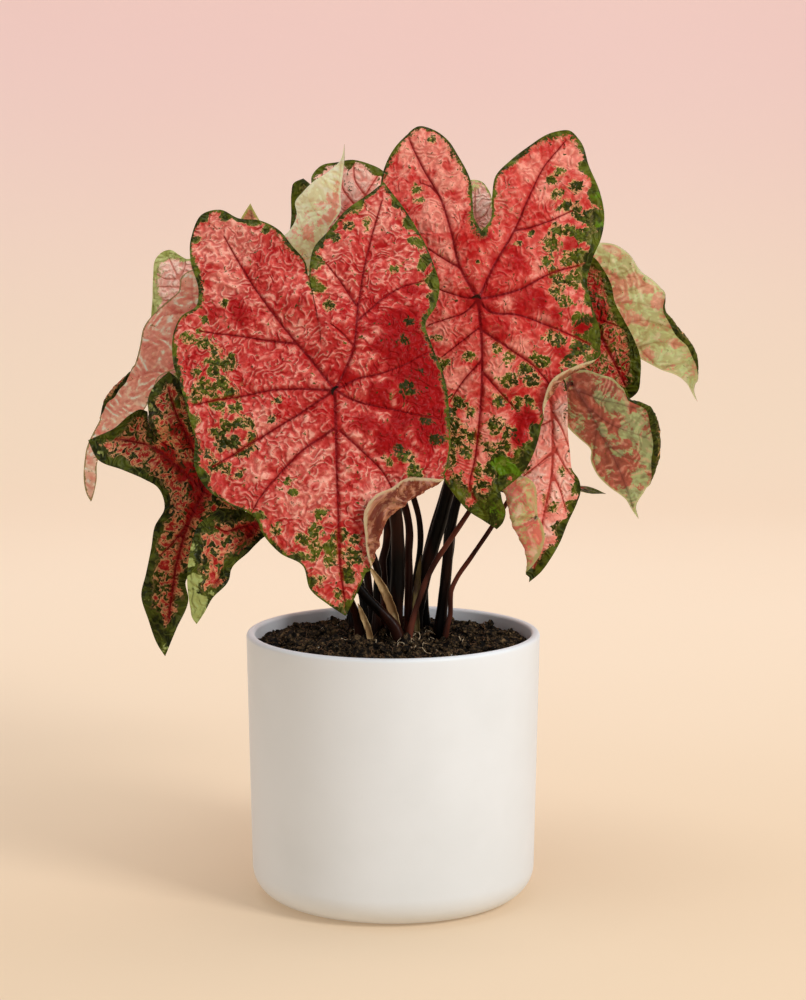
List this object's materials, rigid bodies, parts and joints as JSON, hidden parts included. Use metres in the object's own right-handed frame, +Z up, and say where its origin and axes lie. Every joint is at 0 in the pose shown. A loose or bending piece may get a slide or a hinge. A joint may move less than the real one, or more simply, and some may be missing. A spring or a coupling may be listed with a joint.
{
  "type": "potted caladium",
  "caption": "Leafy caladium plant with large heart-shaped blades on slender stems, rooted in soil in a round white ceramic pot.",
  "frame": {"origin": "centre of the pot's flat base, on the surface that it stands on", "axes": "+Z up along the axis of the pot, +Y away from the viewer of the picture, +X to the right of the picture"},
  "size_m": [0.3582, 0.2901, 0.445],
  "materials": {
    "pot": "matte",
    "soil": "matte",
    "tuber": "matte",
    "blade_coral": "satin",
    "blade_deep_red": "satin",
    "blade_pale_pink": "satin",
    "blade_pale_green": "satin",
    "stem_dark": "satin",
    "stem_red": "satin",
    "sheath_pale": "matte",
    "sheath_green": "matte"
  },
  "bodies": {
    "root": {"blade_back_centre": "blade_coral", "blade_back_left": "blade_coral", "blade_back_left_low": "blade_coral", "blade_back_low": "blade_coral", "blade_back_right": "blade_coral", "blade_back_right_low": "blade_coral", "blade_front_left": "blade_coral", "blade_front_right": "blade_coral", "blade_left_back": "blade_pale_pink", "blade_left_low": "blade_deep_red", "blade_left_small": "blade_coral", "blade_left_under": "blade_pale_pink", "blade_notch": "blade_coral", "blade_right_droop": "blade_pale_pink", "blade_right_far": "blade_pale_green", "blade_right_hang": "blade_coral", "blade_right_red": "blade_deep_red", "blade_top_left": "blade_pale_pink", "blade_top_pale": "blade_pale_green", "blade_top_red": "blade_coral", "pot": "pot", "sheath_brown": "sheath_pale", "sheath_green": "sheath_green", "sheath_pale": "sheath_pale", "soil": "soil", "stem_back_centre": "stem_dark", "stem_back_left": "stem_dark", "stem_back_left_low": "stem_dark", "stem_back_low": "stem_dark", "stem_back_right": "stem_dark", "stem_back_right_low": "stem_dark", "stem_front_left": "stem_dark", "stem_front_right": "stem_dark", "stem_left_back": "stem_dark", "stem_left_low": "stem_dark", "stem_left_small": "stem_dark", "stem_left_under": "stem_dark", "stem_notch": "stem_dark", "stem_right_droop": "stem_red", "stem_right_far": "stem_dark", "stem_right_hang": "stem_dark", "stem_right_red": "stem_red", "stem_top_left": "stem_red", "stem_top_pale": "stem_dark", "stem_top_red": "stem_red", "tuber": "tuber"}
  },
  "joints": []
}
